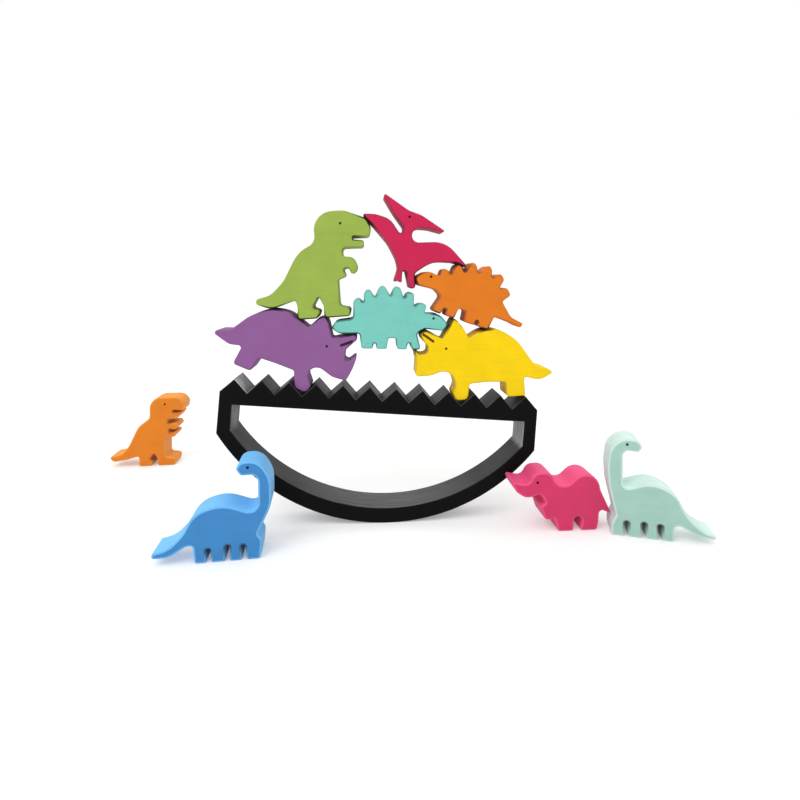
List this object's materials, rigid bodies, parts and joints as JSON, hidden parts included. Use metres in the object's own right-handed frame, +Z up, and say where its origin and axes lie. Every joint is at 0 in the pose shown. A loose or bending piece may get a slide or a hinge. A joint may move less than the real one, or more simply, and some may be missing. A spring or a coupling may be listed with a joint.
{
  "type": "stacking balance game",
  "caption": "Toothed half-moon rocker with flat wooden dinosaurs piled on its teeth and more of them standing on the floor around it.",
  "frame": {"origin": "the line of the rocker's outer curve that touches the floor, in the middle of its board", "axes": "+X along the toothed edge to the right of the picture, +Y away from the viewer through the boards, +Z up"},
  "size_m": [0.4939, 0.195, 0.248],
  "materials": {
    "rocker": "satin paint",
    "purple_triceratops": "satin paint",
    "yellow_triceratops": "satin paint",
    "teal_stegosaur": "satin paint",
    "green_tyrannosaur": "satin paint",
    "orange_stegosaur": "satin paint",
    "magenta_pterosaur": "satin paint",
    "small_tyrannosaur": "satin paint",
    "blue_sauropod": "satin paint",
    "mint_sauropod": "satin paint",
    "pink_domehead": "satin paint"
  },
  "bodies": {
    "root": {"rocker": "rocker", "purple_triceratops": "purple_triceratops", "yellow_triceratops": "yellow_triceratops", "teal_stegosaur": "teal_stegosaur", "green_tyrannosaur": "green_tyrannosaur", "orange_stegosaur": "orange_stegosaur", "magenta_pterosaur": "magenta_pterosaur", "small_tyrannosaur": "small_tyrannosaur", "blue_sauropod": "blue_sauropod", "mint_sauropod": "mint_sauropod", "pink_domehead": "pink_domehead"}
  },
  "joints": []
}
